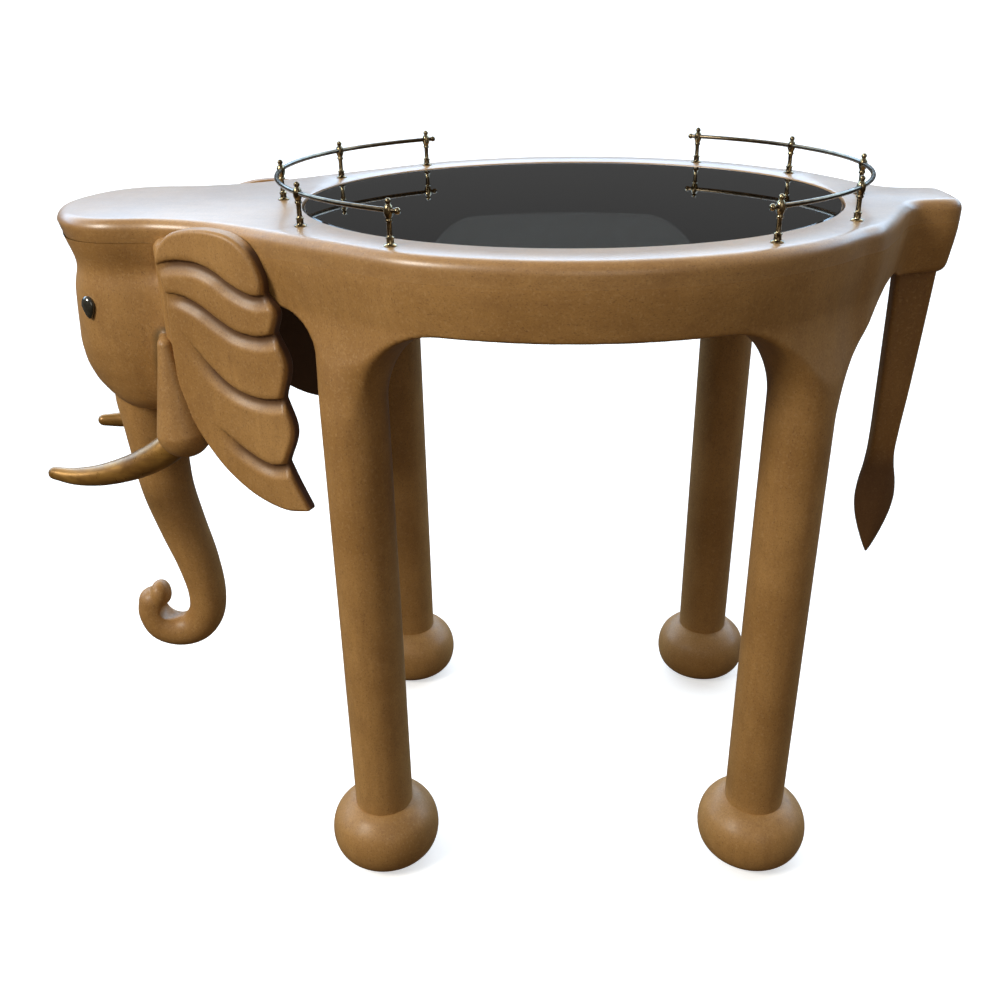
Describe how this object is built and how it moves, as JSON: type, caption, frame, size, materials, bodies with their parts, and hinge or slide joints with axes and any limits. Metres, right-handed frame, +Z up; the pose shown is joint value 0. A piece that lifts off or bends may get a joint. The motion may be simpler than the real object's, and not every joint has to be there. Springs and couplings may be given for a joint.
{
  "type": "elephant side table",
  "caption": "Oval side table carved as a standing elephant, with a smoked glass top, a brass gallery at each end, tusks, ears and a hanging tail.",
  "frame": {"origin": "on the floor, under the middle of the table's outer box", "axes": "+X from the face to the tail, +Y to the elephant's right-hand side seen in plan (the far side), +Z up"},
  "size_m": [1.0289, 0.61, 0.803],
  "materials": {
    "carved_wood": "satin lacquered tan wood with fine dark pores and soft edge wear",
    "gilded_tusk": "aged bronze-gold paint, semi-gloss",
    "dark_eye": "polished dark glass",
    "brass": "polished, slightly tarnished",
    "smoked_glass": "smoked, polished",
    "clear_bumper": "clear soft bumper",
    "felt": "dark felt",
    "dowel_wood": "raw",
    "screw_steel": "plain"
  },
  "bodies": {
    "carcass": {"top_ring": "carved_wood", "neck_board": "carved_wood", "neck_block": "carved_wood", "chest_rail": "carved_wood", "rump_rail": "carved_wood", "tail_bracket": "carved_wood", "apron_near": "carved_wood", "apron_far": "carved_wood", "head_block": "carved_wood", "trunk": "carved_wood", "cheek_near": "carved_wood", "cheek_far": "carved_wood", "ear_near": "carved_wood", "ear_far": "carved_wood", "tail": "carved_wood", "leg_front_near": "carved_wood", "leg_front_far": "carved_wood", "leg_rear_near": "carved_wood", "leg_rear_far": "carved_wood", "foot_front_near": "carved_wood", "foot_front_far": "carved_wood", "foot_rear_near": "carved_wood", "foot_rear_far": "carved_wood", "tusk_near": "gilded_tusk", "tusk_far": "gilded_tusk", "eye_near": "dark_eye", "eye_far": "dark_eye", "gallery_post_front_1": "brass", "gallery_post_front_2": "brass", "gallery_post_front_3": "brass", "gallery_post_front_4": "brass", "gallery_post_front_5": "brass", "gallery_post_rear_1": "brass", "gallery_post_rear_2": "brass", "gallery_post_rear_3": "brass", "gallery_post_rear_4": "brass", "gallery_post_rear_5": "brass", "gallery_rail_front": "brass", "gallery_rail_rear": "brass", "rail_knobs": "brass", "glass_bumpers": "clear_bumper", "floor_pads": "felt", "foot_dowels": "dowel_wood", "leg_dowels": "dowel_wood", "rail_dowels": "dowel_wood", "block_dowels": "dowel_wood", "trunk_dowel": "dowel_wood", "tusk_dowels": "dowel_wood", "tail_dowel": "dowel_wood", "ear_screws": "screw_steel", "post_studs": "screw_steel"},
    "glass": {"glass_insert": "smoked_glass"}
  },
  "joints": [
    {"name": "glass_lift", "type": "slide", "parent": "carcass", "child": "glass", "axis": [0, 0, 1], "range_m": [0, 0.12]}
  ]
}
